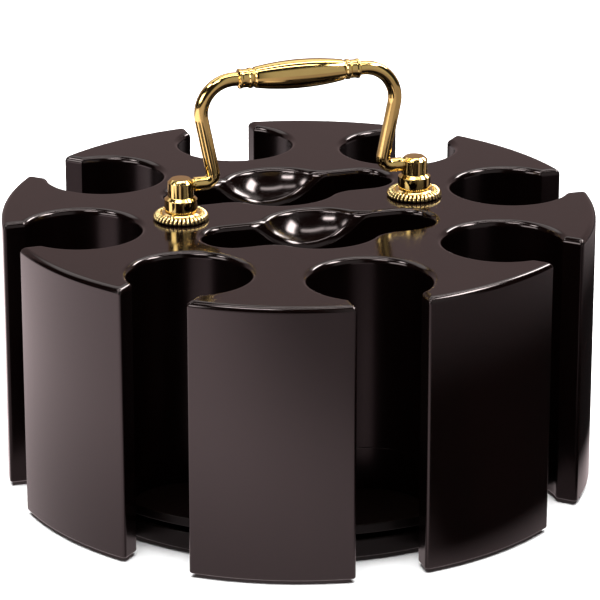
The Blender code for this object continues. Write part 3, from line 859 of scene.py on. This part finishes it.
def make_sheet(name, width, height):
    """A flat stage sheet about the origin, facing up."""
    shape = bmesh.new()
    corners = [(-width, -height), (width, -height), (width, height), (-width, height)]
    shape.faces.new([shape.verts.new((x / 2.0, y / 2.0, 0.0)) for x, y in corners])
    mesh = bpy.data.meshes.new(name)
    shape.to_mesh(mesh)
    shape.free()
    sheet = bpy.data.objects.new(name, mesh)
    bpy.context.scene.collection.objects.link(sheet)
    return sheet


def only_in_reflections(item):
    """Hide a stage piece from everything apart from glossy rays."""
    item.visible_camera = False
    item.visible_diffuse = False
    item.visible_shadow = False


def glow_material(name, colour):
    """A plain emission material. Gives it with its tree and its emission node."""
    material = bpy.data.materials.new(name)
    material.use_nodes = True
    tree = material.node_tree
    tree.nodes.remove(tree.nodes["Principled BSDF"])
    glow = tree.nodes.new("ShaderNodeEmission")
    glow.inputs["Color"].default_value = (*colour, 1.0)
    tree.links.new(glow.outputs["Emission"], tree.nodes["Material Output"].inputs["Surface"])
    return material, tree, glow


def make_light(name, place, target, width, height, brightness):
    """A soft light that glossy surfaces do not mirror. Its brightness is that of its face."""
    light = bpy.data.lights.new(name, "AREA")
    light.shape = "RECTANGLE"
    light.size = width
    light.size_y = height
    light.energy = brightness * math.pi * width * height
    lamp = bpy.data.objects.new(name, light)
    lamp.location = place
    aim(lamp, target)
    bpy.context.scene.collection.objects.link(lamp)
    lamp.visible_camera = False
    lamp.visible_glossy = False


def build_floor():
    """A pale floor, and under it a glowing sheet that stands for the lit floor in reflections.

    The floor's light and shade are painted into the sheet's glow: brightest on the left, dark on the
    right as a black flag there would shade it, dimmed close to the rack as a painted shadow of it, and
    fading towards the back.
    """
    floor = make_sheet("floor", 8.0, 8.0)
    material, tree, shader, places = new_material("pale_floor")
    paper = noise(tree, places, 300.0, 3.0)
    tree.links.new(ramp(tree, paper, [(0.3, (0.90, 0.90, 0.90)), (0.7, (0.93, 0.93, 0.93))]),
                   shader.inputs["Base Color"])
    shader.inputs["Roughness"].default_value = 0.9
    shader.inputs["Specular IOR Level"].default_value = 0.0
    floor.data.materials.append(material)
    floor.visible_glossy = False

    sheet = make_sheet("floor_in_reflections", 8.0, 8.0)
    sheet.location = (0.0, 0.0, -0.001)
    only_in_reflections(sheet)
    material, tree, glow = glow_material("floor_in_reflections", (1.0, 0.82, 0.83))
    place = tree.nodes.new("ShaderNodeTexCoord").outputs["Object"]
    split = tree.nodes.new("ShaderNodeSeparateXYZ")
    tree.links.new(place, split.inputs["Vector"])
    x, y = split.outputs["X"], split.outputs["Y"]
    radius = distance_from_origin(tree, x, y)
    bearing = combine(tree, "ABSOLUTE", combine(tree, "ARCTAN2", y, x))
    # Painted shadow of the rack: the glow dims close round it.
    painted_rack_shadow = smooth_step(tree, radius, 0.09, 0.26, 0.58, 1.0)
    forward = combine(tree, "SUBTRACT", combine(tree, "MULTIPLY", x, 0.45), y)
    lit = combine(tree, "MULTIPLY", smooth_step(tree, forward, 0.08, 0.35, 1.9, 0.6), painted_rack_shadow)
    # Painted shade of a black flag: on the right the glow drops to a dark level, lighter far out.
    flagged = smooth_step(tree, radius, 0.26, 0.38, 0.015, 0.35)
    off_rack = smooth_step(tree, radius, 0.108, 0.132, 0.35, 1.0)
    flag = combine(tree, "MULTIPLY", smooth_step(tree, bearing, 1.22, 1.66, 1.0, 0.0), off_rack)
    blend = combine(tree, "ADD", combine(tree, "MULTIPLY", lit, combine(tree, "SUBTRACT", 1.0, flag)),
                    combine(tree, "MULTIPLY", flagged, flag))
    # Painted light: the glow fades towards the back.
    blend = combine(tree, "MULTIPLY", blend, smooth_step(tree, y, 0.15, 0.50, 1.0, 0.2))
    tree.links.new(blend, glow.inputs["Strength"])
    sheet.data.materials.append(material)


def build_world():
    """A dim even fill."""
    world = bpy.data.worlds.new("studio")
    world.use_nodes = True
    background = world.node_tree.nodes["Background"]
    background.inputs["Color"].default_value = (1.0, 0.97, 0.95, 1.0)
    background.inputs["Strength"].default_value = 0.03
    bpy.context.scene.world = world


def turned_way(tree, way, angle):
    """X, Y and Z of a direction, along axes turned about the upright by an angle in degrees."""
    turn = tree.nodes.new("ShaderNodeVectorRotate")
    turn.rotation_type = "Z_AXIS"
    turn.inputs["Angle"].default_value = -math.radians(angle)
    tree.links.new(way, turn.inputs["Vector"])
    split = tree.nodes.new("ShaderNodeSeparateXYZ")
    tree.links.new(turn.outputs["Vector"], split.inputs["Vector"])
    return split.outputs


def glow_patch(tree, way, azimuth, elevation, half_width, half_height, softness, strength):
    """How much a soft-edged patch of the dome adds in a direction. Angles are in degrees."""
    parts = turned_way(tree, way, azimuth)
    sideways = combine(tree, "ABSOLUTE", combine(tree, "ARCTAN2", parts["Y"], parts["X"]))
    height = combine(tree, "ARCSINE", parts["Z"])
    off = combine(tree, "ABSOLUTE", combine(tree, "SUBTRACT", height, math.radians(elevation)))
    reach = math.radians(softness)
    wide_reach = reach / math.cos(math.radians(elevation))
    wide, high = math.radians(half_width), math.radians(half_height)
    across = smooth_step(tree, sideways, wide - wide_reach / 2.0, wide + wide_reach / 2.0, 1.0, 0.0)
    upward = smooth_step(tree, off, high - reach / 2.0, high + reach / 2.0, strength, 0.0)
    return combine(tree, "MULTIPLY", across, upward)


def glow_strip(tree, way, angle, along, aside, half_length, half_width, softness, strength):
    """How much a strip light on a ceiling adds in a direction.

    The strip runs at an angle from +X. Lengths are in units of the ceiling's height.
    """
    parts = turned_way(tree, way, angle)
    up = combine(tree, "MAXIMUM", parts["Z"], 0.05)
    half = softness / 2.0
    share = strength
    for side, centre, reach in (("X", along, half_length), ("Y", aside, half_width)):
        place = combine(tree, "DIVIDE", parts[side], up)
        off = combine(tree, "ABSOLUTE", combine(tree, "SUBTRACT", place, centre))
        lit = smooth_step(tree, off, reach - half, reach + half, 1.0, 0.0)
        share = combine(tree, "MULTIPLY", lit, share)
    return share


# Lights on the dome. Angles are in degrees, and the strips' lengths in heights of their ceiling.
SOFTBOXES = [
    # azimuth, elevation, half width, half height, softness, strength
    (-17.0, 51.0, 16.0, 5.0, 5.0, 34.0),
    (175.0, 51.0, 6.0, 4.0, 5.0, 28.0),
    (-160.0, 20.0, 16.0, 9.0, 6.0, 6.0),
    (-66.0, 22.0, 27.0, 28.0, 12.0, 0.45),
    (75.0, 48.0, 65.0, 14.0, 10.0, 1.4),
]
STRIP_LIGHTS = [
    # angle, along, aside, half length, half width, softness, strength
    (-27.0, -0.20, -0.62, 0.18, 0.05, 0.06, 34.0),
    (0.0, 0.12, -0.20, 0.31, 0.045, 0.05, 9.0),
    (-27.0, -0.27, -0.25, 0.16, 0.045, 0.05, 7.0),
    (15.6, 0.40, 0.175, 0.60, 0.035, 0.05, 14.0),
    (15.6, 1.45, 0.175, 0.50, 0.12, 0.10, 26.0),
]
WALLS = [
    # as the softboxes
    (75.0, 12.0, 60.0, 20.0, 12.0, 0.33),
]


def build_dome():
    """A dome with the studio's softboxes and cards, seen only in reflections."""
    shape = bmesh.new()
    bmesh.ops.create_uvsphere(shape, u_segments=96, v_segments=48, radius=3.0)
    mesh = bpy.data.meshes.new("studio_dome")
    shape.to_mesh(mesh)
    shape.free()
    dome = bpy.data.objects.new("studio_dome", mesh)
    dome.location = (0.0, 0.0, 0.1)
    bpy.context.scene.collection.objects.link(dome)
    only_in_reflections(dome)
    material, tree, glow = glow_material("studio_dome", (1.0, 0.94, 0.91))
    wall_glow = tree.nodes.new("ShaderNodeEmission")
    wall_glow.inputs["Color"].default_value = (1.0, 0.72, 0.70, 1.0)
    both = tree.nodes.new("ShaderNodeAddShader")
    tree.links.new(glow.outputs["Emission"], both.inputs[0])
    tree.links.new(wall_glow.outputs["Emission"], both.inputs[1])
    tree.links.new(both.outputs["Shader"], tree.nodes["Material Output"].inputs["Surface"])
    unit = tree.nodes.new("ShaderNodeVectorMath")
    unit.operation = "NORMALIZE"
    tree.links.new(tree.nodes.new("ShaderNodeTexCoord").outputs["Object"], unit.inputs[0])
    way = unit.outputs["Vector"]
    lights = [glow_patch(tree, way, *patch) for patch in SOFTBOXES]
    lights += [glow_strip(tree, way, *strip) for strip in STRIP_LIGHTS]
    walls = [glow_patch(tree, way, *patch) for patch in WALLS]
    for emission, shares, dimmest in ((glow, lights, 0.015), (wall_glow, walls, 0.0)):
        total = dimmest
        for share in shares:
            total = combine(tree, "ADD", share, total)
        tree.links.new(total, emission.inputs["Strength"])
    mesh.materials.append(material)


def build_stage():
    """Everything round the object: floor, fill, dome and the one light that casts shadows."""
    build_floor()
    build_world()
    build_dome()
    make_light("overhead_light", (0.0, 0.0, 1.6), (0.0, 0.0, 0.0), 2.0, 2.0, 9.0)


def build_camera():
    """A long lens that looks down on the rack a little, from the left of its front."""
    azimuth = math.radians(-17.47)
    elevation = math.radians(19.95)
    distance = 1.3461
    target = Vector((0.00046, -0.00015, 0.0659))
    level = math.cos(elevation)
    back = Vector((math.sin(azimuth) * level, -math.cos(azimuth) * level, math.sin(elevation)))
    lens = bpy.data.cameras.new("camera")
    lens.lens = 219.85
    lens.sensor_width = 36.0
    lens.clip_start = 0.05
    lens.clip_end = 20.0
    camera = bpy.data.objects.new("camera", lens)
    camera.location = target + distance * back
    aim(camera, target)
    bpy.context.scene.collection.objects.link(camera)
    bpy.context.scene.camera = camera


def finish_cad_nodes(steel):
    """Bearing, screws and hanger bolts stay as the CAD made them, in zinc-plated steel."""
    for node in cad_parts.values():
        if node.hide_render:
            continue
        node.data.materials.clear()
        node.data.materials.append(steel)


lacquer = make_lacquer()
board = make_board()
brass = make_brass()
beaded_brass = make_beaded_brass()
build_rack(lacquer, make_satin())
build_floor_board(board)
build_base(board, make_rubber())
for side, x in (("left", -POST_X), ("right", POST_X)):
    build_rosette(f"{side}_rosette", x, beaded_brass)
    build_post(side, x, brass)
build_bail(brass)
finish_cad_nodes(make_steel())
build_stage()
build_camera()
bpy.context.scene.view_settings.view_transform = "Standard"
